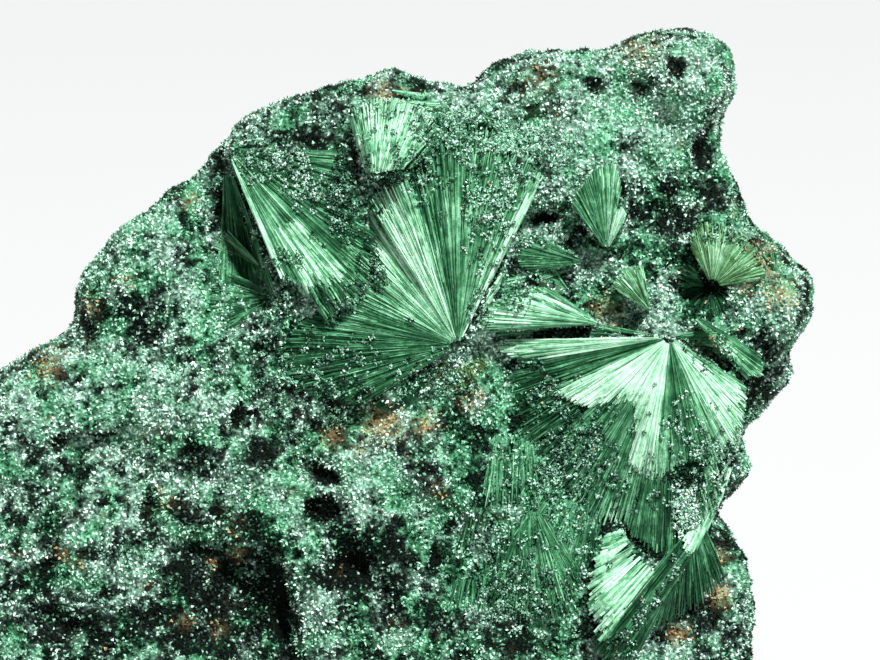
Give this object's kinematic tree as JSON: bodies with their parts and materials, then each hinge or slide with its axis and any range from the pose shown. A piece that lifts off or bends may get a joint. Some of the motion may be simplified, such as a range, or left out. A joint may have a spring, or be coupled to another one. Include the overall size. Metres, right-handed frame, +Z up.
{
  "type": "mineral_specimen",
  "caption": "Malachite hand specimen with radiating silky green crystal sprays in a lumpy, sparkling drusy matrix with brown iron-stained spots",
  "frame": {"origin": "centre of the bounding box's bottom, on the flat break that the specimen stands on", "axes": "+X to the right of the display face, -Y out of the display face towards the viewer, +Z up"},
  "size_m": [0.0718, 0.038, 0.0529],
  "materials": {
    "matrix": "rough, glittering",
    "spray": "silky"
  },
  "bodies": {
    "root": {"matrix": "matrix", "centre_spray": "spray", "lower_spray": "spray", "corner_spray": "spray", "upper_spray": "spray", "wedge_spray": "spray", "green_spray": "spray", "dark_spray": "spray", "middle_spray": "spray", "rosette": "spray", "right_laths": "spray", "bottom_blades": "spray", "bottom_spray": "spray"}
  },
  "joints": []
}
